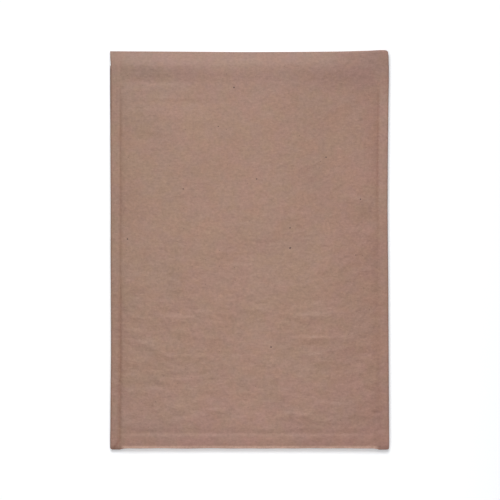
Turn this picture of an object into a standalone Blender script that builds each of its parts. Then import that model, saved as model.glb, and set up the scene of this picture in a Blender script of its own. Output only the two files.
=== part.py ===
"""A padded mailing envelope: a kraft sheet folded round a bubble-film lining, its flap folded to the back.

It lies on its back panel. +X runs across the width, +Y from the bottom fold to the flap's fold, and +Z up
through the front panel. The origin is below the middle of the envelope, on the surface that it lies on.
"""

import math

import bmesh
import bpy
from mathutils import Vector

# Outline
WIDTH = 0.2159  # across both side seams
LENGTH = 0.3089  # from the feet of the side seams to the corners of the flap's fold
SEAM_WIDTH = 0.0082  # flat glued margin along each side
SIDE_BOW = 0.0005  # how far each side is drawn in at half length
FOLD_BOW = 0.0010  # how far the flap's fold is drawn down at half width
FOOT_DROP = 0.0015  # how far the seams' feet reach past the padded bottom fold

# Thicknesses and gaps through the stack
PAPER = 0.0002
FILM_WALL = 0.0030  # one wall of bubble film
POCKET_GAP = 0.0004  # between the two walls of the empty envelope
SEAM_FILM = 0.0004  # film fused flat in the side seams
ADHESIVE = 0.00015
LINER = 0.0001
CLEARANCE = 0.0003  # between any two pieces that lie on each other

# Padded body
SLOPE_RUN = 0.014  # from the seam's line inward to the flat front
SLOPE_POWER = 3.0  # how steeply the padding rises beside the seam
BOTTOM_REACH = 0.008  # from the flat front to the bottom fold
GROOVE_OFFSET = 0.004  # from the start of the bottom roll up to the groove across the front
GROOVE_DEPTH = 0.0005
GROOVE_HALF_WIDTH = 0.0035

# Flap and mouth
MOUTH_DROP = 0.0123  # from the flap's fold down to the top edge of the back panel
FLAP_LENGTH = 0.040
FLAP_TAPER = 0.003  # how much each side of the flap comes in by its free edge
FOLD_RADIUS = 0.0011
VALLEY_DROP = 0.0130  # from the mouth down to the hollow across the front
VALLEY_DEPTH = 0.0006
VALLEY_HALF_WIDTH = 0.010
FLAP_STEP_RUN = 0.006  # length of the step that the back panel makes above the flap
FLAP_STEP_SETBACK = 0.001  # from the flap's free edge down to the top of that step

# Lining
FILM_INSET = 0.0005  # from the paper's side edge in to the film's
FILM_SETBACK = 0.002  # from the mouth down to the film's top edge
POCKET_INSET = 0.002  # from the seam's line in to the side of the pocket

# Closure
STRIP_WIDTH = 0.015
STRIP_FROM_EDGE = 0.003  # from the flap's free edge
STRIP_FROM_SIDE = 0.006
LINER_OVERHANG = 0.002  # how far the liner stands past the strip on its long sides

# Fineness
SLOPE_COLUMNS = 7
FLAT_COLUMNS = 3  # on each half of the flat front
FLAP_ROWS = 4
FOLD_ROWS = 8
SHOULDER_ROWS = 8
RELIEF_ROWS = 8  # across the hollow, and again across the groove
FLAT_ROWS = 5
BOTTOM_ROWS = 12  # round half a turn, so even

# Places that follow from the sizes
PAD_HALF = POCKET_GAP / 2 + FILM_WALL
SKIN = CLEARANCE + PAPER / 2  # from the film's outer face to the middle of the paper
MID_Z = PAD_HALF + SKIN + PAPER / 2
FLAP_ROOM = PAPER + ADHESIVE + LINER + 3 * CLEARANCE  # height of the flap and its closure under the back
ROLL_Y = -(LENGTH / 2 - FOOT_DROP - BOTTOM_REACH)  # where the front starts to roll over the bottom
GROOVE_Y = ROLL_Y + GROOVE_OFFSET
MOUTH_Y = LENGTH / 2 - MOUTH_DROP
VALLEY_Y = MOUTH_Y - VALLEY_DROP
FLAP_EDGE_Y = LENGTH / 2 - FLAP_LENGTH
STEP_TOP_Y = FLAP_EDGE_Y - FOLD_BOW - FLAP_STEP_SETBACK
STEP_FOOT_Y = STEP_TOP_Y - FLAP_STEP_RUN
SEAM_LINE_X = WIDTH / 2 - SEAM_WIDTH

# Colour and roughness of each material
KRAFT_FINISH = ((0.366, 0.231, 0.178), 0.85)
FILM_FINISH = ((0.80, 0.82, 0.84), 0.35)
ADHESIVE_FINISH = ((0.72, 0.66, 0.50), 0.25)
LINER_FINISH = ((0.82, 0.83, 0.84), 0.40)

MERGE_DISTANCE = 0.000001
SHARP_ANGLE = math.radians(40)
GRID_SIDE = 1.0  # side of the flat grid that a sheet starts as


def clear_scene():
    for obj in list(bpy.data.objects):
        bpy.data.objects.remove(obj, do_unlink=True)


def new_collection(name):
    collection = bpy.data.collections.new(name)
    bpy.context.scene.collection.children.link(collection)
    return collection


def new_material(name, finish):
    colour, roughness = finish
    material = bpy.data.materials.new(name)
    material.use_nodes = True
    shader = material.node_tree.nodes["Principled BSDF"]
    shader.inputs["Base Color"].default_value = (*colour, 1.0)
    shader.inputs["Roughness"].default_value = roughness
    shader.inputs["Metallic"].default_value = 0.0
    return material


def new_object(name, mesh, material, collection):
    data = bpy.data.meshes.new(name)
    bmesh.ops.recalc_face_normals(mesh, faces=mesh.faces)
    mesh.to_mesh(data)
    mesh.free()
    data.shade_smooth()
    data.set_sharp_from_angle(angle=SHARP_ANGLE)
    data.materials.append(material)
    obj = bpy.data.objects.new(name, data)
    collection.objects.link(obj)
    return obj


def between(start, end, share):
    return start + (end - start) * share


def eased(share):
    """0 to 1 with level ends."""
    share = min(1.0, max(0.0, share))
    return share * share * (3.0 - 2.0 * share)


def hollow(distance, half_width):
    """1 in the middle of a rounded hollow, 0 at its sides."""
    return eased(1.0 - abs(distance) / half_width)


def spaced(start, end, count):
    """count places from start towards end, without the end itself."""
    return [between(start, end, i / count) for i in range(count)]


def padding(x):
    """Share of the padding's height at x: 0 in the side seams, 1 on the flat middle."""
    share = min(1.0, max(0.0, (SEAM_LINE_X - abs(x)) / SLOPE_RUN))
    return 1.0 - (1.0 - share) ** SLOPE_POWER


def pad_half(x):
    """Half the thickness of the lining at x, before the front's hollows and the flap's step."""
    return between(SEAM_FILM / 2, PAD_HALF, padding(x))


def front_z(x, y, skin):
    """Height of the front, skin outside the film."""
    side = (2.0 * x / WIDTH) ** 2
    valley = VALLEY_DEPTH * side * hollow(y - VALLEY_Y, VALLEY_HALF_WIDTH)
    groove = GROOVE_DEPTH * hollow(y - GROOVE_Y, GROOVE_HALF_WIDTH)
    return MID_Z + pad_half(x) + skin - padding(x) * (valley + groove)


def back_z(x, y, skin):
    """Height of the back, skin outside the film. It steps up where the flap lies under it."""
    step = FLAP_ROOM * eased((y - STEP_FOOT_Y) / FLAP_STEP_RUN)
    return MID_Z - pad_half(x) - skin + padding(x) * step


def bottom_reach(x, skin):
    """From the start of the bottom roll to the fold. The unpadded seams reach furthest."""
    reach = BOTTOM_REACH + FOOT_DROP * (1.0 - padding(x))
    return reach - (SKIN + PAPER / 2 - skin)


def settled(x, y, z):
    """The place of a point once the padding has drawn the long sides in."""
    drawn_in = SIDE_BOW * math.cos(math.pi * y / LENGTH) ** 2
    return Vector((x * (1.0 - 2.0 * drawn_in / WIDTH), y, z))


def fold_dip(x):
    """How far the flap's fold is drawn down at x."""
    return FOLD_BOW * (1.0 - (2.0 * x / WIDTH) ** 2)


def columns(edge):
    """Places across the width, from one edge to the other."""
    slope = spaced(SEAM_LINE_X, SEAM_LINE_X - SLOPE_RUN, SLOPE_COLUMNS)
    flat = spaced(SEAM_LINE_X - SLOPE_RUN, 0.0, FLAT_COLUMNS)
    half = [edge, *slope, *flat]
    return [-x for x in half] + [0.0] + half[::-1]


def front_rows(top):
    """Places down the front, from top to just before the bottom roll."""
    valley_foot = VALLEY_Y - VALLEY_HALF_WIDTH
    groove_top = GROOVE_Y + GROOVE_HALF_WIDTH
    return (
        spaced(top, valley_foot, RELIEF_ROWS)
        + spaced(valley_foot, groove_top, FLAT_ROWS)
        + spaced(groove_top, ROLL_Y, RELIEF_ROWS)
    )


def back_rows(top):
    """Places up the back, from the bottom roll to top."""
    step = spaced(STEP_FOOT_Y, STEP_TOP_Y, RELIEF_ROWS)
    return spaced(ROLL_Y, STEP_FOOT_Y, FLAT_ROWS)[1:] + step + [STEP_TOP_Y, top]


def bottom_fold(angle, skin):
    """A place on the roll over the bottom: angle 0 on the front, half a turn on the back."""

    def place(x):
        y = ROLL_Y - bottom_reach(x, skin) * math.sin(angle)
        face_z = front_z(x, ROLL_Y, skin) if angle <= math.pi / 2 else back_z(x, ROLL_Y, skin)
        return settled(x, y, MID_Z + (face_z - MID_Z) * abs(math.cos(angle)))

    return place


def sheet_places():
    """How the kraft sheet runs from the flap's free edge to the back panel's top edge.

    Each entry is a function from x to the place of the paper's middle, already folded.
    """
    low = PAPER / 2
    turn_y = LENGTH / 2 - PAPER / 2 - FOLD_RADIUS
    taper = FLAP_TAPER / (WIDTH / 2)

    def flap(share):
        def place(x):
            y = between(FLAP_EDGE_Y, turn_y, share) - fold_dip(x)
            return settled(x * (1.0 - taper * (1.0 - share)), y, low)

        return place

    def top_fold(share):
        angle = math.pi * share

        def place(x):
            y = turn_y + FOLD_RADIUS * math.sin(angle) - fold_dip(x)
            return settled(x, y, low + FOLD_RADIUS * (1.0 - math.cos(angle)))

        return place

    def shoulder(share):
        def place(x):
            y = between(turn_y - fold_dip(x), MOUTH_Y, share)
            return settled(x, y, between(low + 2 * FOLD_RADIUS, front_z(x, MOUTH_Y, SKIN), eased(share)))

        return place

    def front(y):
        return lambda x: settled(x, y, front_z(x, y, SKIN))

    def back(y):
        return lambda x: settled(x, y, back_z(x, y, SKIN))

    return (
        [flap(i / FLAP_ROWS) for i in range(FLAP_ROWS)]
        + [top_fold(i / FOLD_ROWS) for i in range(FOLD_ROWS)]
        + [shoulder(i / SHOULDER_ROWS) for i in range(SHOULDER_ROWS)]
        + [front(y) for y in front_rows(MOUTH_Y)]
        + [bottom_fold(math.pi * i / BOTTOM_ROWS, SKIN) for i in range(BOTTOM_ROWS + 1)]
        + [back(y) for y in back_rows(MOUTH_Y)]
    )


def grid_through(across, along, place):
    """A flat grid with a column for each entry of across and a row for each of along, moved by place."""
    mesh = bmesh.new()
    last_column, last_row = len(across) - 1, len(along) - 1
    bmesh.ops.create_grid(mesh, x_segments=last_column, y_segments=last_row, size=GRID_SIDE / 2)
    for vert in mesh.verts:
        column = across[round((vert.co.x / GRID_SIDE + 0.5) * last_column)]
        row = along[round((vert.co.y / GRID_SIDE + 0.5) * last_row)]
        vert.co = place(column, row)
    return mesh


def make_kraft_envelope(collection):
    """One kraft sheet: flap, front panel, bottom fold and back panel."""
    mesh = grid_through(columns(WIDTH / 2), sheet_places(), lambda x, row: row(x))
    kraft = new_object("kraft_envelope", mesh, new_material("kraft_paper", KRAFT_FINISH), collection)
    thickness = kraft.modifiers.new("paper", "SOLIDIFY")
    thickness.thickness = PAPER
    thickness.offset = 0.0


def make_bubble_lining(collection, cutters):
    """Bubble film folded at the bottom and fused along both sides, open at the mouth."""
    top = MOUTH_Y - FILM_SETBACK
    across = columns(WIDTH / 2 - FILM_INSET)
    ring = [(x, True) for x in across] + [(x, False) for x in reversed(across)] + [(across[0], True)]
    quarter = BOTTOM_ROWS // 2
    back_levels = back_rows(top)
    levels = sorted(set(front_rows(top)) | set(back_levels), reverse=True)
    roll = [math.pi / 2 * i / quarter for i in range(quarter + 1)]
    along = [("level", y) for y in levels] + [("roll", angle) for angle in roll]

    def place(column, row):
        x, is_front = column
        kind, value = row
        if kind == "roll":
            return bottom_fold(value if is_front else math.pi - value, 0.0)(x)
        return settled(x, value, front_z(x, value, 0.0) if is_front else back_z(x, value, 0.0))

    mesh = grid_through(ring, along, place)
    bmesh.ops.remove_doubles(mesh, verts=mesh.verts, dist=MERGE_DISTANCE)
    bmesh.ops.holes_fill(mesh, edges=[edge for edge in mesh.edges if edge.is_boundary])
    lining = new_object("bubble_lining", mesh, new_material("bubble_film", FILM_FINISH), collection)

    pocket_bottom = ROLL_Y - bottom_reach(0.0, 0.0) + FILM_WALL
    pocket = make_box(
        "pocket_cutter",
        (2 * (SEAM_LINE_X - POCKET_INSET), MOUTH_Y - pocket_bottom, POCKET_GAP),
        (0.0, (MOUTH_Y + pocket_bottom) / 2, MID_Z),
        lining.data.materials[0],
        cutters,
    )
    pocket.hide_render = True
    pocket.display_type = "WIRE"
    cut = lining.modifiers.new("pocket", "BOOLEAN")
    cut.operation = "DIFFERENCE"
    cut.object = pocket


def make_box(name, size, centre, material, collection):
    mesh = bmesh.new()
    bmesh.ops.create_cube(mesh, size=1.0)
    bmesh.ops.scale(mesh, vec=Vector(size), verts=mesh.verts)
    box = new_object(name, mesh, material, collection)
    box.location = centre
    return box


def make_closure(collection):
    """The adhesive strip on the flap's inner face, and the liner that covers it."""
    strip_z = PAPER + CLEARANCE + ADHESIVE / 2
    liner_z = strip_z + ADHESIVE / 2 + CLEARANCE + LINER / 2
    strip_y = FLAP_EDGE_Y + STRIP_FROM_EDGE + STRIP_WIDTH / 2
    length = WIDTH - 2 * (FLAP_TAPER + STRIP_FROM_SIDE)
    make_box(
        "adhesive_strip",
        (length, STRIP_WIDTH, ADHESIVE),
        (0.0, strip_y, strip_z),
        new_material("adhesive", ADHESIVE_FINISH),
        collection,
    )
    make_box(
        "release_liner",
        (length, STRIP_WIDTH + 2 * LINER_OVERHANG, LINER),
        (0.0, strip_y, liner_z),
        new_material("liner_paper", LINER_FINISH),
        collection,
    )


def main():
    clear_scene()
    envelope = new_collection("padded_envelope")
    cutters = new_collection("cutters")
    make_kraft_envelope(envelope)
    make_bubble_lining(envelope, cutters)
    make_closure(envelope)


main()
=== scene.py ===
"""The looks of the padded envelope: creased kraft paper, bubble film, adhesive and liner, light and camera.

Lengths are in metres in the part's own frame. +X runs across the width, +Y towards the flap's fold and +Z
up through the front. Places marked as photo pixels are in the photograph's 500 by 500 frame.
"""

import math

import bmesh
import bpy
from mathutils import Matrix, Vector, noise


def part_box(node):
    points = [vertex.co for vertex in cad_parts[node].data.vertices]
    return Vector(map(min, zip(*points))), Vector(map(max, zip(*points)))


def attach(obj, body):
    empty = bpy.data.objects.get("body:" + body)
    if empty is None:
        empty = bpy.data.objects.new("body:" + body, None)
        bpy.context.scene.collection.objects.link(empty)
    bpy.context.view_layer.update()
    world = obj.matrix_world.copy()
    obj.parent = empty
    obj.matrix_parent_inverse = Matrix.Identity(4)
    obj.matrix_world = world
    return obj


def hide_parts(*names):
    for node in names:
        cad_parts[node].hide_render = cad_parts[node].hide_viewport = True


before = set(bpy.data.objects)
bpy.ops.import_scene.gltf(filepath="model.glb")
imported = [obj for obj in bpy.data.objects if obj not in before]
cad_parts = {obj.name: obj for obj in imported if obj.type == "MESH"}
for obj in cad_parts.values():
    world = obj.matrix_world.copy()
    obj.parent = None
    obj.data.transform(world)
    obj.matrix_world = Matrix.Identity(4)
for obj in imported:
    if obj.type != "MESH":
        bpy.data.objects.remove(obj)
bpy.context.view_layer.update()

MM = 0.001
WHITE = (1.0, 1.0, 1.0, 1.0)

# The envelope's size, from the frame
LOW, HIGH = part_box("kraft_envelope")
WIDTH = HIGH[0] - LOW[0]
LENGTH = HIGH[1] - LOW[1]
THICKNESS = HIGH[2] - LOW[2]
FILM_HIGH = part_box("bubble_lining")[1]
STRIP_LOW, STRIP_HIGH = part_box("adhesive_strip")
LINER_LOW, LINER_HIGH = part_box("release_liner")

# Layers, from the middle outward
PAPER = 0.2 * MM
CLEARANCE = 0.3 * MM
SEAM_FILM = 0.4 * MM
SKIN = CLEARANCE + PAPER / 2
MID_Z = THICKNESS / 2
PAD_HALF = THICKNESS / 2 - PAPER / 2 - SKIN
FLAP_ROOM = LINER_HIGH[2] + CLEARANCE

# Padded body. It rises steeply beside the seams and goes on rising over a crown: (its width, its share)
SEAM_WIDTH = 8.2 * MM
LEFT_LINE_SHIFT = 0.9 * MM
RIGHT_LINE_SHIFT = 0.4 * MM
LEFT_LINE = WIDTH / 2 - SEAM_WIDTH + LEFT_LINE_SHIFT
RIGHT_LINE = WIDTH / 2 - SEAM_WIDTH + RIGHT_LINE_SHIFT
STEEP_RUN = 11.0 * MM
STEEP_POWER = 3.0
LEFT_CROWN = (40.0 * MM, 0.45)
RIGHT_CROWN = (60.0 * MM, 0.62)

# Bottom fold, and the feet of the seams that stand past it
BOTTOM_REACH = 8.0 * MM
FOOT_DROP = 1.5 * MM
FOOT_SHOWN = 1.00 * MM
REACH_SHOWN = 0.12 * MM
FOOT_ROUNDING = 1.0 * MM
FOOT_ROUNDING_RUN = 1.6 * MM
FOOT_RUN = 6.0 * MM
LEFT_DROOP = 0.85 * MM
RIGHT_DROOP = 0.2 * MM
FOLD_UNEVEN = 0.25 * MM
ROLL_RISE = 0.6 * MM
ROLL_Y = -(LENGTH / 2 - FOOT_DROP - BOTTOM_REACH)

# Broad relief of the front: the hollows below the flap's fold, and the sag towards the bottom
LEFT_HOLLOW = 2.2 * MM
RIGHT_HOLLOW = 3.9 * MM
BASIN = 0.55 * MM
CREST_ROUND = 0.47 * MM
BOTTOM_SAG = 1.0 * MM

# Creases. The flanks are in half widths of a ridge, and the headroom keeps the highest inside the box.
RIDGE_GAIN = 2.5
CREST_SHIFT = 0.10
UPPER_FLANK = 0.95
LOWER_FLANK = 3.3
FRONT_HEADROOM = 0.98 * MM

# Groove above the bottom roll: depth in millimetres, wandering in photo pixels
GROOVE_DEPTH = 0.40
GROOVE_UNEVEN = 0.20
GROOVE_WANDER = 1.1

# Seams: how far the crimps move aside on their way down, the run of painted shade beside them and the
# painted shade at the cut edge
CRIMP_LEAN = 1.3 * MM
CRIMP_TURN = 4.1 * MM
SOFT_RUN = 14.0 * MM
EDGE_SHADE_WIDTH = 1.0 * MM
LEFT_CURL = 0.75 * MM
RIGHT_CURL = 0.45 * MM
CURL_RUN = 1.1 * MM

# Cockling, with heights in millimetres, and the print of the bubbles
WRINKLE_BEND = 5.0 * MM
WRINKLE_HEIGHT = 0.15
FINE_HEIGHT = 0.07
BROAD_HEIGHT = 0.40
BUBBLE_PRINT = 0.03 * MM
BACK_RELIEF = 0.5
BACK_LIFT = 0.04 * MM
FRONT_SEED = 1.0
BACK_SEED = 11.0
BUBBLE_PITCH = 10.0 * MM
BUBBLE_ROW = BUBBLE_PITCH * math.sqrt(3) / 2

# Flap and mouth
MOUTH_DROP = 12.3 * MM
MOUTH_Y = LENGTH / 2 - MOUTH_DROP
FILM_TOP_Y = FILM_HIGH[1]
FLAP_LENGTH = 40.0 * MM
FLAP_TAPER = 3.0 * MM
FLAP_EDGE_Y = LENGTH / 2 - FLAP_LENGTH
FOLD_RADIUS = 1.1 * MM
FLAP_LIFT = 0.12 * MM
SHOULDER_WAVE = 0.10 * MM
STEP_RUN = 6.0 * MM
STEP_SETBACK = 2.0 * MM
STEP_TOP_Y = FLAP_EDGE_Y - STEP_SETBACK

# The photograph's frame
PHOTO_SIDE = 500
PHOTO_LEFT, PHOTO_RIGHT = 109.9, 389.5
PHOTO_TOP = 50.0
PIXEL = WIDTH / (PHOTO_RIGHT - PHOTO_LEFT)


def between(start, end, share):
    return start + (end - start) * share


def clamped(share):
    return min(1.0, max(0.0, share))


def eased(share):
    """0 to 1 with level ends."""
    share = clamped(share)
    return share * share * (3.0 - 2.0 * share)


def bump(distance, half_width):
    """1 at distance 0, 0 from half_width on."""
    return eased(1.0 - abs(distance) / half_width)


def ripple(x, y, across, along, seed):
    """Smooth unevenness from about -1 to 1, in blobs of about across by along metres."""
    return noise.noise(Vector((x / across, y / along, seed)))


def spaced(start, end, step):
    """Places from start towards end about step apart, without the end itself."""
    count = max(1, round(abs(end - start) / step))
    return [between(start, end, i / count) for i in range(count)]


def photo_x(x):
    """The photo's column at x."""
    return PHOTO_LEFT + (x + WIDTH / 2) / PIXEL


def photo_y(y):
    """The photo's row at y."""
    return PHOTO_TOP + (LENGTH / 2 - y) / PIXEL


def from_photo(column, row):
    """The place in the frame under a photo pixel."""
    return (column - PHOTO_LEFT) * PIXEL - WIDTH / 2, LENGTH / 2 - (row - PHOTO_TOP) * PIXEL


def curve_through(points, at):
    """The height at a place on the broken line through (place, height) points."""
    if at <= points[0][0]:
        return points[0][1]
    for (a, low), (b, high) in zip(points, points[1:]):
        if at <= b:
            return between(low, high, (at - a) / (b - a))
    return points[-1][1]


# Creases of the front: from (column, row) to (column, row) in photo pixels, height in
# millimetres and half width in pixels. A negative height is a groove. The upper flank, which takes the
# light, is the steep one and lies on the line. Bare rows and columns further down are photo pixels too.
RIDGES = (
    (122, 87.8, 150, 88.3, 0.11, 3.0),
    (133, 102.6, 203, 101.6, -0.12, 4.2),
    (186, 122, 214, 118, 0.08, 3.0),
    (124, 136, 172, 137, -0.12, 3.0),
    (205, 150, 250, 146, 0.05, 3.0),
    (163, 317, 196, 318, 0.17, 3.0),
    (123, 330, 138, 330.5, 0.25, 3.0),
    (172, 330, 187, 330.5, 0.14, 3.0),
    (139, 339.9, 171, 356.9, 0.31, 2.8),
    (125, 358, 136, 362, 0.12, 2.6),
    (122, 376, 140, 376, 0.16, 3.6),
    (146, 382.8, 160, 383.3, -0.17, 3.0),
    (122, 389.5, 134, 390, 0.13, 2.6),
    (149, 389, 164, 389.5, 0.18, 3.0),
    (158, 415.5, 179, 404.5, 0.14, 3.0),
    (203, 399.5, 213, 400, 0.10, 2.6),
    (208, 409.7, 222, 409.2, 0.30, 3.0),
    (234, 419.3, 254, 415.3, 0.18, 2.8),
    (228, 257, 258, 258, 0.06, 3.0),
    (226, 265, 262, 266, 0.11, 2.8),
    (236, 301.5, 268, 312.5, 0.11, 3.0),
    (256, 287, 298, 286, 0.07, 3.0),
    (185, 311, 213, 313, 0.07, 3.0),
    (299, 315.4, 346, 313.4, 0.19, 3.2),
    (307, 337.7, 353, 337.2, 0.21, 2.8),
    (311, 355.6, 348, 346.6, 0.21, 3.2),
    (316, 362, 344, 361, 0.08, 2.8),
    (306, 371, 330, 371, 0.06, 2.8),
    (317, 403, 339, 404, 0.16, 3.2),
    (340, 404, 352, 402, 0.08, 2.8),
    (287, 412.3, 318, 416.3, 0.15, 3.0),
    (318, 421, 342, 418, 0.10, 2.8),
    (205, 443, 238, 443, 0.08, 2.8),
    (347, 195, 372, 202, 0.32, 3.2),
    (366, 268, 377, 270.5, 0.25, 2.4),
)

# A soft dent beside the right seam: column, row, half width, half height, depth
DENT = (370, 221, 15.0, 16.0, 1.9 * MM)

# Top edge of the flap's fold: (column, row)
TOP_EDGE = (
    (110, 51.1),
    (145, 51.3),
    (175, 51.45),
    (240, 51.93),
    (295, 51.8),
    (325, 51.6),
    (340, 51.45),
    (355, 51.1),
    (370, 50.65),
    (381, 50.05),
    (386, 50.0),
    (388, 50.4),
    (389.5, 51.9),
)

# How far the side edges come in below the mouth: (row, millimetres)
LEFT_INSETS = (
    (68, 0.18),
    (95, 0.26),
    (120, 0.40),
    (150, 0.55),
    (210, 0.78),
    (250, 0.71),
    (290, 0.85),
    (335, 0.98),
    (355, 0.98),
    (390, 0.72),
    (430, 0.45),
    (447, 0.22),
)
RIGHT_INSETS = (
    (68, 0.60),
    (80, 0.62),
    (92, 0.80),
    (120, 1.08),
    (150, 1.36),
    (210, 1.60),
    (250, 1.35),
    (290, 1.05),
    (320, 0.92),
    (350, 0.80),
    (390, 0.62),
    (430, 0.50),
    (447, 0.30),
)


def top_dip(x):
    """How far the flap's fold lies below the highest corner."""
    return (curve_through(TOP_EDGE, photo_x(x)) - PHOTO_TOP) * PIXEL


def left_inset(y):
    return curve_through(LEFT_INSETS, photo_y(y)) * MM


def right_inset(y):
    return curve_through(RIGHT_INSETS, photo_y(y)) * MM


def front_left_inset(y):
    """The front's left edge lies a little inside the back's, most of all near the mouth."""
    row = photo_y(y)
    return 0.50 * MM * eased((140 - row) / 40)


def drawn_in(x, left, right):
    """x once the edges have come in by left and right. The seams slide, and the padding follows them."""
    inset = left if x < 0 else right
    return x - math.copysign(inset * abs(x) / (WIDTH / 2), x)


def inward_of_seam(x):
    """How far x lies inside the seam line of its side."""
    return (LEFT_LINE if x < 0 else RIGHT_LINE) - abs(x)


def padding(x):
    """Share of the padding's height at x: 0 in the side seams, 1 in the middle."""
    inward = inward_of_seam(x)
    crown_run, crown_share = LEFT_CROWN if x < 0 else RIGHT_CROWN
    steep = 1.0 - (1.0 - clamped(inward / STEEP_RUN)) ** STEEP_POWER
    crown = 1.0 - (1.0 - clamped(inward / crown_run)) ** 2
    return between(steep, crown, crown_share)


def pad_half(x):
    return between(SEAM_FILM / 2, PAD_HALF, padding(x))


def hollow_under_fold(x, y):
    """Down from the crest at the mouth to a hollow, and up again to the padded front: at the left with a
    quick first rise, at the right deeper and over a longer way."""
    column, row = photo_x(x), photo_y(y)
    crest = clamped(1.0 - (row - photo_y(MOUTH_Y)) / 9.0) ** 2
    left = 0.14 + 0.86 * (1.0 - eased((column - 140) / 80))
    rise = 0.26 * eased((row - 81.5) / 5.5) + 0.74 * eased((row - 83) / 34)
    left_drop = LEFT_HOLLOW * left * (eased((row - 61) / 22) - rise)
    right = eased((column - 280) / 65)
    right_fall = 0.62 * eased((row - 54) / 40) + 0.38 * eased((row - 62) / 70)
    right_drop = RIGHT_HOLLOW * right * (right_fall - eased((row - 122) / 130))
    basin = eased((column - 140) / 40) * (eased((row - 64) / 24) - eased((row - 92) / 80))
    return -CREST_ROUND * crest - left_drop - right_drop - BASIN * basin


def bottom_sag(y):
    """The padding thins out towards the bottom fold."""
    return -BOTTOM_SAG * eased((photo_y(y) - 410) / 60)


def bottom_groove(x, y):
    """The line where the front's film stops bending with the paper, just above the bottom roll."""
    row = photo_y(y) + GROOVE_WANDER * ripple(x, 0.0, 0.013, 1.0, 61.0)
    deep = GROOVE_DEPTH + GROOVE_UNEVEN * ripple(x, 0.0, 0.022, 1.0, 71.0)
    return -deep * MM * (eased((row - 427.3) / 6.0) - eased((row - 432.8) / 3.6))


def seam_line(x, y):
    """Where the crimp lies on x's side, before the sides are drawn in."""
    if x > 0:
        return RIGHT_LINE + CRIMP_LEAN * eased((photo_y(y) - 190) / 60)
    aside = 0.20 + 0.34 * eased((photo_y(y) - 170) / 60)
    return -LEFT_LINE - aside * MM - CRIMP_TURN * eased((photo_y(y) - 439) / 11)


def seam_crimp(x, y):
    """The crimped groove beside each seam. The left one grows deeper towards the bottom."""
    row = photo_y(y)
    if x < 0:
        depth = between(0.37, 0.62, eased((row - 190) / 170)) * eased((row - 74) / 36)
        half_width = between(1.9, 2.3, eased((row - 280) / 100))
    else:
        depth = between(0.16, 0.08, eased((row - 150) / 80)) * eased((row - 74) / 30)
        half_width = 1.7
    valley = clamped(1.0 - abs(x - seam_line(x, y)) / (half_width * MM)) ** 1.3
    return -depth * MM * valley


def painted_seam_shade(x, y):
    """Painted shade along the crimps, on the slope beside the right seam, on the left seam band and at the
    seams' cut edges. Below 0 it is a painted lighter tone, on the upper part of the right seam band."""
    row = photo_y(y)
    start = eased((row - 72) / 30)
    away = x - seam_line(x, y)
    if x < 0:
        bend = eased((row - 436) / 6)
        depth = between(between(0.21, 0.44, eased((row - 260) / 100)), 0.85, bend)
        half = between(between(1.5, 2.2, eased((row - 200) / 180)), 1.5, bend)
        band = between(0.02, 0.20, eased((row - 200) / 180))
        step_at, step_run = 2.5, 4.0
        edge_shade, soft = 0.7, 0.0
    else:
        upper = 1.0 - eased((row - 150) / 80)
        depth, half = between(0.13, 0.30, upper), 1.8
        band = between(0.0, -0.38, 1.0 - eased((row - 170) / 110))
        step_at, step_run = -0.45, 1.3
        edge_shade, soft = 0.35, 0.34 * upper
    line = depth * start * bump(away, half * MM)
    inward = inward_of_seam(x)
    seam = start * band * eased((step_at * MM - inward) / (step_run * MM))
    # Painted shade on the slope beside the right seam
    if inward > 0.0:
        seam += start * soft * (1.0 - clamped(inward / SOFT_RUN)) ** 2
    # Painted shade at the seams' cut edges
    edge = edge_shade * clamped(1.0 - (WIDTH / 2 - abs(x)) / EDGE_SHADE_WIDTH)
    return max(line, edge) + seam


def edge_curl(x):
    """The seams' cut edges bend down a little."""
    drop = LEFT_CURL if x < 0 else RIGHT_CURL
    return -drop * clamped(1.0 - (WIDTH / 2 - abs(x)) / CURL_RUN) ** 1.5


def ridge_height(x, y):
    """All the listed creases at once."""
    column, row = photo_x(x), photo_y(y)
    height = 0.0
    for x0, y0, x1, y1, tall, half in RIDGES:
        if column < min(x0, x1) - 8 or column > max(x0, x1) + 8 or abs(row - (y0 + y1) / 2) > 16:
            continue
        dx, dy = x1 - x0, y1 - y0
        length = math.hypot(dx, dy)
        along = ((column - x0) * dx + (row - y0) * dy) / length
        below = ((row - y0) * dx - (column - x0) * dy) / length - CREST_SHIFT * half
        flank = half * (LOWER_FLANK if below > 0 else UPPER_FLANK)
        if abs(below) >= flank:
            continue
        ends = eased((along + 5) / 8) * eased((length + 5 - along) / 8)
        height += tall * ends * bump(below, flank)
    return RIDGE_GAIN * height * MM


def dent(x, y):
    column, row, half_wide, half_high, depth = DENT
    across = (photo_x(x) - column) / half_wide
    down = (photo_y(y) - row) / half_high
    return -depth * eased(1.0 - math.hypot(across, down))


def cockle(x, y, seed):
    """Soft unevenness of paper over bubbles: long crosswise wrinkles, stronger towards the bottom."""
    row = photo_y(y)
    strength = between(0.40, 1.0, eased((row - 160) / 190))
    bent = y + WRINKLE_BEND * ripple(x, y, 0.030, 0.050, seed + 13.0)
    wrinkle = ripple(x, bent, 0.026, 0.0072, seed)
    fine = ripple(x, bent, 0.011, 0.0042, seed + 7.0)
    broad = ripple(x, y, 0.055, 0.045, seed + 3.0)
    return MM * (WRINKLE_HEIGHT * strength * wrinkle + FINE_HEIGHT * strength * fine + BROAD_HEIGHT * broad)


def bubble_print(x, y):
    """The faint print of the bubbles, in offset rows."""
    across = math.cos(2 * math.pi * x / BUBBLE_PITCH)
    down = math.cos(2 * math.pi * y / (2 * BUBBLE_ROW))
    return BUBBLE_PRINT * across * down


def front_relief(x, y):
    share = padding(x)
    soft = hollow_under_fold(x, y) + bottom_sag(y) + bottom_groove(x, y) + dent(x, y) + bubble_print(x, y)
    return share * (soft + ridge_height(x, y) + cockle(x, y, FRONT_SEED)) + seam_crimp(x, y) + edge_curl(x)


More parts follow.
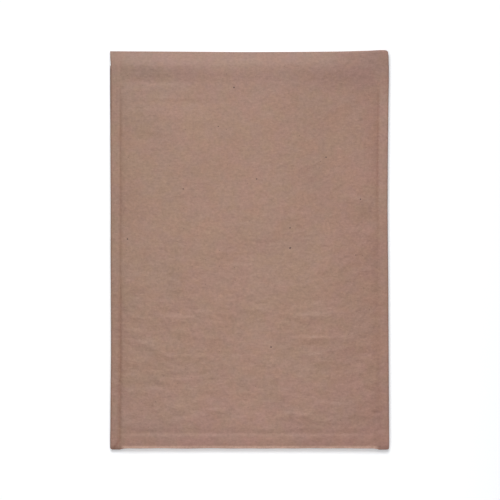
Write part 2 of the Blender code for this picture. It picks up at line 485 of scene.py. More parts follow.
def front_z(x, y, skin):
    """Height of the front, skin outside the film."""
    return MID_Z + pad_half(x) + skin + front_relief(x, y) - FRONT_HEADROOM * padding(x)


def back_z(x, y, skin):
    """Height of the back, skin outside the film. It steps up where the flap lies under it."""
    step = FLAP_ROOM * eased((y - STEP_TOP_Y + STEP_RUN) / STEP_RUN)
    lift = padding(x) * max(0.0, cockle(x, y, BACK_SEED) + BACK_LIFT) * BACK_RELIEF
    return MID_Z - pad_half(x) - skin + padding(x) * step + lift + seam_crimp(x, y) + edge_curl(x)


def reach(x, skin):
    """From the start of the bottom roll to the fold."""
    uneven = FOLD_UNEVEN * ripple(x, 0.0, 0.02, 1.0, 5.0)
    rounding = FOOT_ROUNDING * (1.0 - clamped((WIDTH / 2 - abs(x)) / FOOT_ROUNDING_RUN)) ** 2
    full = BOTTOM_REACH + REACH_SHOWN + FOOT_SHOWN * foot(x) + uneven * padding(x) - rounding
    return full - (SKIN + PAPER / 2 - skin)


def foot(x):
    """1 in the seams, falling off quickly where the padding starts."""
    return (1.0 - clamped(inward_of_seam(x) / FOOT_RUN)) ** 2


def stepped(marks, end):
    """Places from mark to mark and on towards end. A mark is a place and the step on from it in mm."""
    ends = [place for place, step in marks[1:]] + [end]
    places = []
    for (start, step), stop in zip(marks, ends):
        places += spaced(start, stop, step * MM)
    return places


def columns():
    """Places across the sheet, close together beside the seams."""
    halves = []
    for seam_x in (LEFT_LINE, RIGHT_LINE):
        marks = (
            (WIDTH / 2, 0.4),
            (WIDTH / 2 - 1.2 * MM, 1.3),
            (seam_x + 2.5 * MM, 0.46),
            (seam_x - 3.0 * MM, 1.3),
            (seam_x - 12.0 * MM, 3.0),
        )
        halves.append(stepped(marks, 0.0))
    left, right = halves
    return [-x for x in left] + [0.0] + right[::-1]


def front_rows():
    """Places down the front, from the mouth to the bottom roll, close together where it is creased."""
    lower = [(from_photo(0, row)[1], step) for row, step in ((112, 1.5), (245, 0.85), (424, 0.6))]
    return stepped([(MOUTH_Y, 0.9)] + lower, ROLL_Y)


# Rows of the mesh over the flap, round its fold, over the shoulder and round the bottom, and the spacing
# of those on the back: below the step, on it and above it
FLAP_ROWS = 12
FOLD_ROWS = 10
SHOULDER_ROWS = 12
ROLL_ROWS = 18
BACK_SPACING = 3.6 * MM
STEP_SPACING = 0.8 * MM
TOP_SPACING = 2.5 * MM


def sheet_rows():
    """The sheet from the flap's free edge to the back panel's top edge: (zone, place in it)."""
    back = spaced(ROLL_Y, STEP_TOP_Y - STEP_RUN, BACK_SPACING)[1:]
    back += spaced(STEP_TOP_Y - STEP_RUN, STEP_TOP_Y, STEP_SPACING)
    back += spaced(STEP_TOP_Y, MOUTH_Y, TOP_SPACING) + [MOUTH_Y]
    return (
        [("flap", i / FLAP_ROWS) for i in range(FLAP_ROWS)]
        + [("fold", i / FOLD_ROWS) for i in range(FOLD_ROWS)]
        + [("shoulder", i / SHOULDER_ROWS) for i in range(SHOULDER_ROWS)]
        + [("front", y) for y in front_rows()]
        + [("roll", i / ROLL_ROWS) for i in range(ROLL_ROWS + 1)]
        + [("back", y) for y in back]
    )


def shoulder_insets(share):
    """How far the paper comes in at the left and right edges between the mouth (0) and the fold (1)."""
    left = 0.20 + 0.75 * (1.0 - share) ** 1.6
    right = 0.78 + 0.35 * clamped((share - 0.6) / 0.4) ** 2
    return left * MM, right * MM


def fold_height(x):
    """How high the flap's fold stands above the flap: the right corner springs up."""
    column = photo_x(x)
    return 2 * FOLD_RADIUS * (1.0 + 1.05 * eased((column - 265) / 100))


def place_on_sheet(x, row):
    """Where a vertex of the flat sheet lies once the sheet is folded."""
    zone, at = row
    fold_y = LENGTH / 2 - PAPER / 2 - FOLD_RADIUS
    low = PAPER / 2
    if zone == "flap":
        y = between(FLAP_EDGE_Y, fold_y, at) - top_dip(x)
        left, right = shoulder_insets(1.0)
        side = drawn_in(x, left + FLAP_TAPER * (1 - at), right + FLAP_TAPER * (1 - at))
        lift = FLAP_LIFT * max(0.0, ripple(x, y, 0.05, 0.03, 21.0))
        return Vector((side, y, low + lift * (1 - at)))
    if zone == "fold":
        angle = math.pi * at
        y = fold_y + FOLD_RADIUS * math.sin(angle) - top_dip(x)
        z = low + fold_height(x) * (1 - math.cos(angle)) / 2
        return Vector((drawn_in(x, *shoulder_insets(1.0)), y, z))
    if zone == "shoulder":
        y = between(fold_y - top_dip(x), MOUTH_Y, at)
        start, end = low + fold_height(x), front_z(x, MOUTH_Y, SKIN)
        wave = SHOULDER_WAVE * ripple(x, y, 0.03, 0.01, 9.0) * math.sin(math.pi * at)
        z = between(start, end, between(at, math.sin(math.pi / 2 * at), 0.7)) + wave
        return Vector((drawn_in(x, *shoulder_insets(1 - at)), y, z))
    if zone == "front":
        left = left_inset(at) + front_left_inset(at)
        return Vector((drawn_in(x, left, right_inset(at)), at, front_z(x, at, SKIN)))
    if zone == "back":
        return Vector((drawn_in(x, left_inset(at), right_inset(at)), at, back_z(x, at, SKIN)))
    return roll_place(x, math.pi * at, SKIN)


def roll_place(x, angle, skin):
    """A place on the roll over the bottom: angle 0 on the front, half a turn on the back."""
    y = ROLL_Y - reach(x, skin) * math.sin(angle)
    is_front = angle <= math.pi / 2
    face_z = front_z(x, ROLL_Y, skin) if is_front else back_z(x, ROLL_Y, skin)
    droop = (LEFT_DROOP if x < 0 else RIGHT_DROOP) * foot(x) * math.sin(angle) ** 6
    droop -= ROLL_RISE * (1.0 - foot(x)) * math.sin(angle) ** 3
    extra = front_left_inset(ROLL_Y) * (1 + math.cos(angle)) / 2
    side = drawn_in(x, left_inset(ROLL_Y) + extra, right_inset(ROLL_Y))
    return Vector((side, y, MID_Z + (face_z - MID_Z) * abs(math.cos(angle)) - droop))


# Half the side of the square that every grid starts as
GRID_HALF = 0.5


def grid_through(across, along, place, level=None):
    """A flat grid with a column for each entry of across and a row for each of along, moved by place.
    Where level is given, it works out each vertex's painted shade, which the material reads."""
    mesh = bmesh.new()
    darkness = mesh.verts.layers.float.new("painted_seam_shade") if level else None
    last_column, last_row = len(across) - 1, len(along) - 1
    bmesh.ops.create_grid(mesh, x_segments=last_column, y_segments=last_row, size=GRID_HALF)
    for vert in mesh.verts:
        column = across[round((vert.co.x + GRID_HALF) * last_column)]
        row = along[round((vert.co.y + GRID_HALF) * last_row)]
        vert.co = place(column, row)
        if level:
            vert[darkness] = level(column, vert.co.y)
    return mesh


def new_piece(name, mesh, material, replaced):
    """Makes a piece of the envelope that stands for the CAD node replaced."""
    data = bpy.data.meshes.new(name)
    bmesh.ops.recalc_face_normals(mesh, faces=mesh.faces)
    mesh.to_mesh(data)
    mesh.free()
    data.shade_smooth()
    data.materials.append(material)
    piece = bpy.data.objects.new(name, data)
    bpy.context.scene.collection.objects.link(piece)
    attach(piece, "root")
    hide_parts(replaced)
    return piece


def thicken(piece, thickness):
    solid = piece.modifiers.new("thickness", "SOLIDIFY")
    solid.thickness = thickness
    solid.offset = 0.0


class Nodes:
    """A short way to build one material's node tree."""

    def __init__(self, name):
        self.material = bpy.data.materials.new(name)
        self.material.use_nodes = True
        self.tree = self.material.node_tree
        self.shader = self.tree.nodes["Principled BSDF"]
        self.object_place = self.add("ShaderNodeTexCoord").outputs["Object"]

    def add(self, kind, **settings):
        node = self.tree.nodes.new(kind)
        for key, value in settings.items():
            setattr(node, key, value)
        return node

    def feed(self, socket, value):
        if isinstance(value, bpy.types.NodeSocket):
            self.tree.links.new(value, socket)
        else:
            socket.default_value = value

    def math(self, operation, *values, clamp=False):
        node = self.add("ShaderNodeMath", operation=operation, use_clamp=clamp)
        for socket, value in zip(node.inputs, values):
            self.feed(socket, value)
        return node.outputs[0]

    def stretched(self, scale=(1.0, 1.0, 1.0), turn=0.0):
        """Object coordinates, turned about Z and stretched."""
        node = self.add("ShaderNodeMapping")
        node.inputs["Rotation"].default_value = (0.0, 0.0, turn)
        node.inputs["Scale"].default_value = scale
        self.feed(node.inputs["Vector"], self.object_place)
        return node.outputs["Vector"]

    def noise(self, size, detail=2.0, roughness=0.5, vector=None):
        """Noise whose blobs are about size across, as a value round 0.5."""
        node = self.add("ShaderNodeTexNoise")
        self.feed(node.inputs["Vector"], vector or self.object_place)
        node.inputs["Scale"].default_value = 1.0 / size
        node.inputs["Detail"].default_value = detail
        node.inputs["Roughness"].default_value = roughness
        return node.outputs["Fac"]

    def ranged(self, value, low, high, to_low=0.0, to_high=1.0, smooth=False):
        node = self.add("ShaderNodeMapRange")
        node.interpolation_type = "SMOOTHSTEP" if smooth else "LINEAR"
        for socket, number in zip(node.inputs, (value, low, high, to_low, to_high)):
            self.feed(socket, number)
        return node.outputs[0]

    def mixed(self, share, first, second, within=True):
        node = self.add("ShaderNodeMix", data_type="RGBA", clamp_factor=within)
        self.feed(node.inputs["Factor"], share)
        for socket, colour in ((node.inputs["A"], first), (node.inputs["B"], second)):
            rgba = [s for s in node.inputs if s.name == socket.name and s.type == "RGBA"][0]
            self.feed(rgba, colour)
        return [s for s in node.outputs if s.type == "RGBA"][0]

    def multiplied(self, first, second):
        node = self.add("ShaderNodeVectorMath", operation="MULTIPLY")
        self.feed(node.inputs[0], first)
        self.feed(node.inputs[1], second)
        return node.outputs["Vector"]

    def bump(self, height, distance, strength, normal=None):
        node = self.add("ShaderNodeBump")
        node.inputs["Distance"].default_value = distance
        node.inputs["Strength"].default_value = strength
        self.feed(node.inputs["Height"], height)
        if normal:
            self.feed(node.inputs["Normal"], normal)
        return node.outputs["Normal"]


# Kraft paper
KRAFT_LIGHT = (0.456, 0.271, 0.197, 1.0)
KRAFT_DARK = (0.325, 0.190, 0.136, 1.0)
KRAFT_PINK = (1.014, 0.990, 1.0, 1.0)
KRAFT_OLIVE = (0.987, 1.010, 1.0, 1.0)
KRAFT_YELLOW = (1.0, 1.0, 0.972, 1.0)
KRAFT_GREY = (1.0, 1.0, 1.028, 1.0)
# Painted light along the bottom fold, with some real wear
KRAFT_FOLD_LIGHT_AND_WEAR = (0.92, 0.585, 0.45, 1.0)
# Painted shade for the seams
KRAFT_SEAM_SHADE = (0.79, 0.68, 0.62, 1.0)

# Slow drift of the paper's colour over the sheet, with painted sheen at the top and painted shade at the
# bottom roll's edge: axis, photo pixel where it starts, where it is full, tint
DRIFTS_AND_PAINTED_LIGHT = (
    # Painted sheen towards the flap's fold: cooler and less saturated
    ("Y", 120, 58, (0.960, 0.976, 1.033, 1.0)),
    ("Y", 350, 440, (1.000, 0.984, 1.030, 1.0)),
    ("Y", 433, 443, (1.004, 0.968, 0.972, 1.0)),
    # Painted shade on the lower edge of the bottom roll
    ("Y", 444.4, 446.8, (0.93, 0.92, 0.92, 1.0)),
    ("X", 318, 370, (1.020, 0.984, 1.002, 1.0)),
    ("X", 200, 150, (0.989, 1.012, 1.010, 1.0)),
)

# Specks in the pulp: (column, row, radius in millimetres). Small ones lie in those cells of a pattern
# whose random number is above the limit.
SPECK_COLOUR = (0.075, 0.045, 0.035, 1.0)
SPECKS = (
    (234.0, 87.7, 0.75),
    (218.3, 126.7, 0.55),
    (326.0, 157.3, 0.65),
    (256.7, 179.0, 0.60),
    (183.3, 189.0, 0.55),
    (360.3, 199.3, 0.60),
    (290.0, 228.0, 0.60),
    (290.0, 248.0, 0.85),
    (127.7, 239.0, 0.70),
    (355.7, 255.0, 0.50),
    (271.0, 347.0, 0.75),
)
SCATTER_PITCH = 5.5 * MM
SCATTER_LIMIT = 0.72


def split_place(nodes):
    """The place on the object as X, Y and Z."""
    place = nodes.add("ShaderNodeSeparateXYZ")
    nodes.feed(place.inputs[0], nodes.object_place)
    return place.outputs


def speck_mask(nodes):
    """Dark flecks in the pulp: those that the photo shows on the front, and small scattered ones."""
    wobble = nodes.math("MULTIPLY", nodes.math("SUBTRACT", nodes.noise(0.6 * MM), 0.5), 0.7 * MM)
    flat_place = nodes.stretched((1.0, 1.0, 0.0))
    mask = 0.0
    for column, row, radius in SPECKS:
        x, y = from_photo(column, row)
        gap = nodes.add("ShaderNodeVectorMath", operation="DISTANCE")
        nodes.feed(gap.inputs[0], flat_place)
        gap.inputs[1].default_value = (x, y, 0.0)
        away = nodes.math("ADD", gap.outputs["Value"], wobble)
        spot = nodes.ranged(away, radius * MM * 0.55, radius * MM, 1.0, 0.0)
        mask = nodes.math("MAXIMUM", mask, spot)
    on_front = nodes.math("GREATER_THAN", split_place(nodes)["Z"], MID_Z)
    mask = nodes.math("MULTIPLY", mask, on_front)
    cells = nodes.add("ShaderNodeTexVoronoi")
    nodes.feed(cells.inputs["Vector"], nodes.object_place)
    cells.inputs["Scale"].default_value = 1.0 / SCATTER_PITCH
    near = nodes.ranged(cells.outputs["Distance"], 0.045, 0.075, 0.55, 0.0)
    split = nodes.add("ShaderNodeSeparateColor")
    nodes.feed(split.inputs[0], cells.outputs["Color"])
    chosen = nodes.math("GREATER_THAN", split.outputs[0], SCATTER_LIMIT)
    return nodes.math("MAXIMUM", mask, nodes.math("MULTIPLY", near, chosen))


def pulp_colour(nodes, fine, mottle, fibres):
    """Brown mottled paper that is pinker in some places and more olive in others."""
    cloud = nodes.noise(38 * MM, 2.0)
    tone = nodes.math("MULTIPLY", nodes.math("SUBTRACT", fine, 0.5), 1.45)
    for layer, weight in ((mottle, 0.85), (cloud, 0.45), (fibres, 1.0)):
        tone = nodes.math("ADD", tone, nodes.math("MULTIPLY", nodes.math("SUBTRACT", layer, 0.5), weight))
    colour = nodes.mixed(nodes.math("ADD", tone, 0.5, clamp=True), KRAFT_DARK, KRAFT_LIGHT)

    hue = nodes.ranged(nodes.noise(15 * MM, 2.0), 0.38, 0.62, smooth=True)
    colour = nodes.multiplied(colour, nodes.mixed(hue, KRAFT_PINK, KRAFT_OLIVE))
    turned = nodes.noise(11 * MM, 2.0, vector=nodes.stretched(turn=1.0))
    hue = nodes.ranged(turned, 0.38, 0.62, smooth=True)
    return nodes.multiplied(colour, nodes.mixed(hue, KRAFT_YELLOW, KRAFT_GREY))


def with_drifts_and_painted_light(nodes, colour):
    """The colour with the slow drifts over the sheet, the painted sheen and painted shade among them."""
    place = split_place(nodes)
    for axis, start, full, tint in DRIFTS_AND_PAINTED_LIGHT:
        low, high = (from_photo(pixel, pixel)["XY".index(axis)] for pixel in (start, full))
        tint_share = nodes.ranged(place[axis], low, high, smooth=True)
        colour = nodes.multiplied(colour, nodes.mixed(tint_share, WHITE, tint))
    return colour


def fold_lit_and_worn(nodes, colour, fine):
    """The colour paler along the bottom fold, between the seams: painted light on the roll, with some real
    wear of the fold.
    """
    place = split_place(nodes)
    fold_line = -(LENGTH / 2 - FOOT_DROP)
    light_and_wear = nodes.ranged(place["Y"], fold_line + 0.5 * MM, fold_line + 2.7 * MM, 0.7, 0.0, smooth=True)
    inside = nodes.math("ABSOLUTE", place["X"])
    inside = nodes.ranged(inside, RIGHT_LINE - 4 * MM, RIGHT_LINE, 1.0, 0.0)
    light_and_wear = nodes.math("MULTIPLY", light_and_wear, inside)
    light_and_wear = nodes.math("MULTIPLY", light_and_wear, nodes.ranged(fine, 0.3, 0.6, 0.6, 1.0))
    return nodes.mixed(light_and_wear, colour, KRAFT_FOLD_LIGHT_AND_WEAR)


def seams_with_painted_shade(nodes, colour):
    """The colour with painted shade along the crimps and at the seams' outer edges, which the mesh carries.
    """
    mark = nodes.add("ShaderNodeAttribute", attribute_name="painted_seam_shade").outputs["Fac"]
    mark = nodes.math("MULTIPLY", mark, nodes.ranged(nodes.noise(2.2 * MM, 2.0), 0.35, 0.65, 0.75, 1.25))
    return nodes.multiplied(colour, nodes.mixed(mark, WHITE, KRAFT_SEAM_SHADE, within=False))


def kraft_grain(nodes, fine, fibres):
    """Fine relief, from the paper's grain up to the soft facets between its wrinkles."""
    grain = nodes.math("ADD", nodes.math("MULTIPLY", fine, 0.7), nodes.math("MULTIPLY", fibres, 0.7))
    normal = nodes.bump(grain, 0.10 * MM, 1.0)
    crinkle = nodes.noise(3.6 * MM, 2.0, 0.6)
    normal = nodes.bump(crinkle, 0.38 * MM, 1.0, normal)
    lower_half = nodes.ranged(split_place(nodes)["Y"], -60 * MM, 50 * MM, 1.0, 0.25, smooth=True)
    wrinkle = nodes.noise(7.0 * MM, 2.0, 0.55, nodes.stretched((0.5, 1.0, 1.0)))
    normal = nodes.bump(nodes.math("MULTIPLY", wrinkle, lower_half), 0.55 * MM, 1.0, normal)
    fold_noise = nodes.noise(13.0 * MM, 1.0, 0.5, nodes.stretched((0.7, 1.0, 1.0), 0.3))
    facet = nodes.math("ABSOLUTE", nodes.math("SUBTRACT", fold_noise, 0.5))
    return nodes.bump(nodes.math("MULTIPLY", facet, lower_half), 1.2 * MM, 1.0, normal)


def kraft_material():
    nodes = Nodes("kraft paper")
    fine = nodes.noise(2.0 * MM, 3.0, 0.7)
    mottle = nodes.noise(4.5 * MM, 3.0, 0.6)
    fibre_a = nodes.noise(0.55 * MM, 1.0, 0.5, nodes.stretched((0.16, 1.0, 1.0), math.radians(24)))
    fibre_b = nodes.noise(0.55 * MM, 1.0, 0.5, nodes.stretched((0.16, 1.0, 1.0), math.radians(-35)))
    fibres = nodes.math("MULTIPLY", nodes.math("ADD", fibre_a, fibre_b), 0.5)

    colour = with_drifts_and_painted_light(nodes, pulp_colour(nodes, fine, mottle, fibres))
    # Painted light with some real wear along the bottom fold, and painted shade at the seams
    colour = seams_with_painted_shade(nodes, fold_lit_and_worn(nodes, colour, fine))
    colour = nodes.mixed(speck_mask(nodes), colour, SPECK_COLOUR)
    nodes.feed(nodes.shader.inputs["Base Color"], colour)
    nodes.feed(nodes.shader.inputs["Roughness"], nodes.ranged(mottle, 0.3, 0.7, 0.56, 0.68))
    nodes.shader.inputs["Specular IOR Level"].default_value = 0.5
    nodes.feed(nodes.shader.inputs["Normal"], kraft_grain(nodes, fine, fibres))
    return nodes.material


# Film, adhesive and liner
FILM_DARK = (0.74, 0.77, 0.79, 1.0)
FILM_LIGHT = (0.90, 0.92, 0.93, 1.0)
ADHESIVE_DARK = (0.60, 0.52, 0.34, 1.0)
ADHESIVE_LIGHT = (0.80, 0.75, 0.60, 1.0)
LINER_DARK = (0.78, 0.79, 0.80, 1.0)
LINER_LIGHT = (0.88, 0.885, 0.89, 1.0)


def film_material():
    nodes = Nodes("bubble film")
    haze = nodes.noise(9 * MM, 3.0)
    nodes.feed(nodes.shader.inputs["Base Color"], nodes.mixed(haze, FILM_DARK, FILM_LIGHT))
    nodes.feed(nodes.shader.inputs["Roughness"], nodes.ranged(haze, 0.3, 0.7, 0.16, 0.32))
    nodes.shader.inputs["Transmission Weight"].default_value = 0.55
    nodes.shader.inputs["IOR"].default_value = 1.5
    nodes.feed(nodes.shader.inputs["Normal"], nodes.bump(nodes.noise(2.5 * MM, 3.0), 0.15 * MM, 0.6))
    return nodes.material


def adhesive_material():
    nodes = Nodes("adhesive")
    streak = nodes.noise(3 * MM, 3.0, 0.5, nodes.stretched((0.08, 1.0, 1.0)))
    nodes.feed(nodes.shader.inputs["Base Color"], nodes.mixed(streak, ADHESIVE_DARK, ADHESIVE_LIGHT))
    nodes.feed(nodes.shader.inputs["Roughness"], nodes.ranged(streak, 0.3, 0.7, 0.12, 0.30))
    nodes.feed(nodes.shader.inputs["Normal"], nodes.bump(streak, 0.08 * MM, 0.7))
    return nodes.material


def liner_material():
    nodes = Nodes("release liner")
    mottle = nodes.noise(2.2 * MM, 3.0)
    nodes.feed(nodes.shader.inputs["Base Color"], nodes.mixed(mottle, LINER_DARK, LINER_LIGHT))
    nodes.feed(nodes.shader.inputs["Roughness"], nodes.ranged(mottle, 0.3, 0.7, 0.28, 0.42))
    nodes.feed(nodes.shader.inputs["Normal"], nodes.bump(nodes.noise(0.5 * MM), 0.03 * MM, 0.5))
    return nodes.material


def make_kraft():
    mesh = grid_through(columns(), sheet_rows(), place_on_sheet, painted_seam_shade)
    kraft = new_piece("folded_kraft_sheet", mesh, kraft_material(), "kraft_envelope")
    thicken(kraft, PAPER)


# Bubble film
FILM_SHEET = 0.12 * MM
BUBBLE_RADIUS = 4.6 * MM
BUBBLE_SIDES = 10
BUBBLE_PROFILE = ((1.0, 0.0), (1.02, 0.35), (0.90, 0.80), (0.62, 1.0))
FILM_HALF_GAP = 0.32 * MM
LEAST_BUBBLE = 0.8 * MM
FILM_EDGE = 1.0 * MM
FILM_TURN_Y = ROLL_Y - 4.0 * MM
FILM_TURN_ROWS = 6
FILM_OPENING_RUN = 4.0 * MM
FILM_SEAM_GAP = 0.03 * MM
BUBBLE_FROM_SEAM = 1.6 * MM
BUBBLE_SHOULDER = BUBBLE_RADIUS * 0.6
FILM_SPACING = 4.0 * MM
FILM_CLOSE_SPACING = 0.8 * MM
FILM_CLOSE_ROW = 436


def pocket_z(x, y):
    """Height of the pocket's middle, halfway between front and back."""
    y = max(y, ROLL_Y)
    return (front_z(x, y, 0.0) + back_z(x, y, 0.0)) / 2


def film_place(x, row):
    """The flat layer of the film: down the front wall, round the pocket's bottom and up the back wall."""
    kind, at = row
    open_share = eased(inward_of_seam(x) / FILM_OPENING_RUN)
    half = between(FILM_SHEET / 2 + FILM_SEAM_GAP, FILM_HALF_GAP, open_share)
    y = FILM_TURN_Y if kind == "turn" else at
    side = drawn_in(x, left_inset(y), right_inset(y))
    middle = pocket_z(x, y)
    if kind == "front":
        return Vector((side, y, middle + half))
    if kind == "back":
        return Vector((side, y, middle - half))
    angle = math.pi * at
    return Vector((side, y - half * math.sin(angle), middle + half * math.cos(angle)))


def add_bubble(mesh, x, y, base, height, upward):
    """One closed bubble: a low dome standing on the film's flat layer."""
    facing = 1.0 if upward else -1.0
    rings = []
    for radius, share in BUBBLE_PROFILE:
        ring = []
        for i in range(BUBBLE_SIDES):
            angle = 2 * math.pi * i / BUBBLE_SIDES
            out = BUBBLE_RADIUS * radius
            spot = (x + out * math.cos(angle), y + out * math.sin(angle), base + facing * height * share)
            ring.append(mesh.verts.new(spot))
        rings.append(ring)
    for lower, upper in zip(rings, rings[1:]):
        for i in range(BUBBLE_SIDES):
            j = (i + 1) % BUBBLE_SIDES
            mesh.faces.new((lower[i], lower[j], upper[j], upper[i]))
    mesh.faces.new(rings[-1])
    mesh.faces.new(rings[0][::-1])


def make_film_sheet():
    across = [x for x in columns() if abs(x) < WIDTH / 2 - FILM_EDGE]
    close_y = from_photo(0, FILM_CLOSE_ROW)[1]
    down = spaced(FILM_TOP_Y, close_y, FILM_SPACING) + spaced(close_y, FILM_TURN_Y, FILM_CLOSE_SPACING)
    turn = [("turn", i / FILM_TURN_ROWS) for i in range(FILM_TURN_ROWS + 1)]
    rows = [("front", y) for y in down] + turn + [("back", y) for y in down[::-1]]
    mesh = grid_through(across, rows, film_place)
    sheet = new_piece("bubble_film_sheet", mesh, film_material(), "bubble_lining")
    thicken(sheet, FILM_SHEET)


def bubble_height(x, y, base, upward):
    """Room from the film's flat layer to the paper over a bubble, or under it."""
    outer_x = math.copysign(abs(x) + BUBBLE_SHOULDER, x)
    spots = [(px, py) for px in (x, outer_x) for py in (y - BUBBLE_SHOULDER, y, y + BUBBLE_SHOULDER)]
    if upward:
        return min(front_z(px, py, 0.0) for px, py in spots) - base
    return base - max(back_z(px, py, 0.0) for px, py in spots)


def make_bubbles():
    """Offset rows of bubbles on both walls, wherever there is room for them."""
    mesh = bmesh.new()
    count = int(WIDTH / 2 / BUBBLE_PITCH)
    row, y = 0, ROLL_Y
    while y < FILM_TOP_Y - BUBBLE_RADIUS:
        for i in range(-count, count + 1):
            x = (i + 0.5 * (row % 2)) * BUBBLE_PITCH
            if inward_of_seam(x) < BUBBLE_RADIUS + BUBBLE_FROM_SEAM:
                continue
            for upward in (True, False):
                base = pocket_z(x, y) + (FILM_HALF_GAP if upward else -FILM_HALF_GAP)
                height = bubble_height(x, y, base, upward)
                if height > LEAST_BUBBLE:
                    add_bubble(mesh, drawn_in(x, left_inset(y), right_inset(y)), y, base, height, upward)
        row += 1
        y += BUBBLE_ROW
    bubbles = new_piece("bubbles", mesh, film_material(), "bubble_lining")


# Adhesive strip and liner: the radius of their ends' corners and how far their long edges waver
STRIP_SPACING = 2.0 * MM
ADHESIVE_CORNER = 2.0 * MM
ADHESIVE_WAVE = 0.5 * MM
LINER_CORNER = 1.5 * MM
LINER_WAVE = 0.1 * MM


def strip_mesh(low, high, corner_radius, wave, seed):
    """A flat strip with rounded ends and slightly wavy long edges."""
    centre_y, half_y = (low[1] + high[1]) / 2, (high[1] - low[1]) / 2
    across = spaced(low[0], high[0], STRIP_SPACING) + [high[0]]
    shares = [-1.0, -0.6, -0.2, 0.2, 0.6, 1.0]

    def place(x, share):
        into_corner = max(0.0, corner_radius - min(x - low[0], high[0] - x))
        rounding = corner_radius - math.sqrt(max(0.0, corner_radius**2 - into_corner**2))
        edge = half_y - rounding - wave * (0.5 + 0.5 * ripple(x, share, 0.012, 1.0, seed))
        return Vector((x, centre_y + share * edge, (low[2] + high[2]) / 2))

    return grid_through(across, shares, place)


def make_closure():
    adhesive = strip_mesh(STRIP_LOW, STRIP_HIGH, ADHESIVE_CORNER, ADHESIVE_WAVE, 31.0)
    strip = new_piece("adhesive_band", adhesive, adhesive_material(), "adhesive_strip")
    thicken(strip, STRIP_HIGH[2] - STRIP_LOW[2])
    paper = strip_mesh(LINER_LOW, LINER_HIGH, LINER_CORNER, LINER_WAVE, 41.0)
    liner = new_piece("peel_off_liner", paper, liner_material(), "release_liner")
    thicken(liner, LINER_HIGH[2] - LINER_LOW[2])


# White table and the light from all round. The floor looks a little above white to the camera, so that
# only the object's own shadow is seen on it.
FLOOR_SIDE = 6.0
FLOOR_GAP = 0.1 * MM
FLOOR_COLOUR = (0.82, 0.82, 0.82, 1.0)
FLOOR_SHOWN = (0.985, 0.99, 1.0, 1.0)
FLOOR_LIFT = 0.275
AMBIENT = 0.17
AMBIENT_TINT = (0.93, 0.985, 1.06, 1.0)


def camera_only(nodes):
    """1 for what the camera sees itself or in gloss or glass, 0 for light that falls on the object."""
    path = nodes.add("ShaderNodeLightPath").outputs
    seen = nodes.math("MAXIMUM", path["Is Camera Ray"], path["Is Glossy Ray"])
    return nodes.math("MAXIMUM", seen, path["Is Transmission Ray"])


def make_floor():
    mesh = bmesh.new()
    bmesh.ops.create_grid(mesh, x_segments=1, y_segments=1, size=FLOOR_SIDE / 2)
    data = bpy.data.meshes.new("floor")
    mesh.to_mesh(data)
    mesh.free()
    floor = bpy.data.objects.new("floor", data)
    floor.location.z = -FLOOR_GAP
    bpy.context.scene.collection.objects.link(floor)
    nodes = Nodes("white table")
    seen = camera_only(nodes)
    nodes.feed(nodes.shader.inputs["Base Color"], nodes.mixed(seen, FLOOR_COLOUR, FLOOR_SHOWN))
    nodes.shader.inputs["Roughness"].default_value = 1.0
    nodes.shader.inputs["Specular IOR Level"].default_value = 0.0
    nodes.shader.inputs["Emission Color"].default_value = WHITE
    nodes.feed(nodes.shader.inputs["Emission Strength"], nodes.math("MULTIPLY", seen, FLOOR_LIFT))
    data.materials.append(nodes.material)


def make_world():
    """White to the camera, and a weak bluish light from all round for the rest."""
    world = bpy.data.worlds.new("studio")
    world.use_nodes = True
    nodes = world.node_tree.nodes
    links = world.node_tree.links
    shown, ambient = nodes["Background"], nodes.new("ShaderNodeBackground")
    ambient.inputs["Color"].default_value = AMBIENT_TINT
    ambient.inputs["Strength"].default_value = AMBIENT
    shown.inputs["Color"].default_value = WHITE
    shown.inputs["Strength"].default_value = 1.0
    path, mix = nodes.new("ShaderNodeLightPath"), nodes.new("ShaderNodeMixShader")
    links.new(path.outputs["Is Camera Ray"], mix.inputs[0])
    links.new(ambient.outputs[0], mix.inputs[1])
    links.new(shown.outputs[0], mix.inputs[2])
    links.new(mix.outputs[0], nodes["World Output"].inputs["Surface"])
    bpy.context.scene.world = world


# Lamps: a broad one far off towards the top of the picture, and a narrow one close above the envelope
KEY_SIZE = (4.7, 4.7)
KEY_LEVEL = 0.49
KEY_DISTANCE = 9.0
KEY_AZIMUTH = -6
KEY_ELEVATION = 51
NEAR_SIZE = (0.12, 1.6)
NEAR_LEVEL = 1.25
NEAR_DISTANCE = 0.24
NEAR_X = -0.015


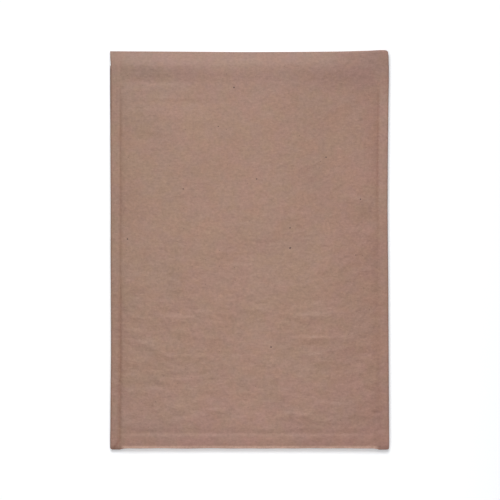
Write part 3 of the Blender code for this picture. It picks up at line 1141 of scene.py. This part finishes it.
def add_softbox(name, size, level, distance):
    """An area lamp that hangs level above the origin. size is its width and length; level is about the
    share of full light that it gives a level surface right below it."""
    lamp = bpy.data.lights.new(name, "AREA")
    lamp.shape = "RECTANGLE"
    lamp.size, lamp.size_y = size
    lamp.energy = level * math.pi**2 * distance**2
    box = bpy.data.objects.new(name, lamp)
    box.location.z = distance
    bpy.context.scene.collection.objects.link(box)
    return box


def swing(box, azimuth, elevation):
    """Moves a hanging lamp along its sphere, still facing the origin. azimuth 0 is at the top of the
    picture and 90 at its right."""
    turn, rise = math.radians(azimuth), math.radians(elevation)
    towards = Vector((math.sin(turn) * math.cos(rise), math.cos(turn) * math.cos(rise), math.sin(rise)))
    box.location = towards * box.location.z
    box.rotation_mode = "QUATERNION"
    box.rotation_quaternion = towards.to_track_quat("Z", "Y")
    box.data.energy /= math.sin(rise)


def make_lights():
    key = add_softbox("key", KEY_SIZE, KEY_LEVEL, KEY_DISTANCE)
    swing(key, KEY_AZIMUTH, KEY_ELEVATION)
    near = add_softbox("strip", NEAR_SIZE, NEAR_LEVEL, NEAR_DISTANCE)
    near.location.x = NEAR_X


# Lens and sensor in millimetres. One photo pixel is PIXEL wide at SHARP_Z.
LENS = 200.0
SENSOR = 36.0
SHARP_Z = MID_Z - 1.5 * MM
NEAREST = 0.1
FURTHEST = 20.0


def make_camera():
    """Straight above the envelope, framed as the photograph is."""
    shown = PHOTO_SIDE * PIXEL
    centre_x, centre_y = from_photo(PHOTO_SIDE / 2, PHOTO_SIDE / 2)
    lens = bpy.data.cameras.new("camera")
    lens.lens = LENS
    lens.sensor_width = SENSOR
    camera = bpy.data.objects.new("camera", lens)
    camera.location = (centre_x, centre_y, SHARP_Z + shown * LENS / SENSOR)
    lens.clip_start = NEAREST
    lens.clip_end = FURTHEST
    bpy.context.scene.collection.objects.link(camera)
    bpy.context.scene.camera = camera


def main():
    make_kraft()
    make_film_sheet()
    make_bubbles()
    make_closure()
    make_floor()
    make_world()
    make_lights()
    make_camera()
    bpy.context.scene.view_settings.view_transform = "Standard"


main()
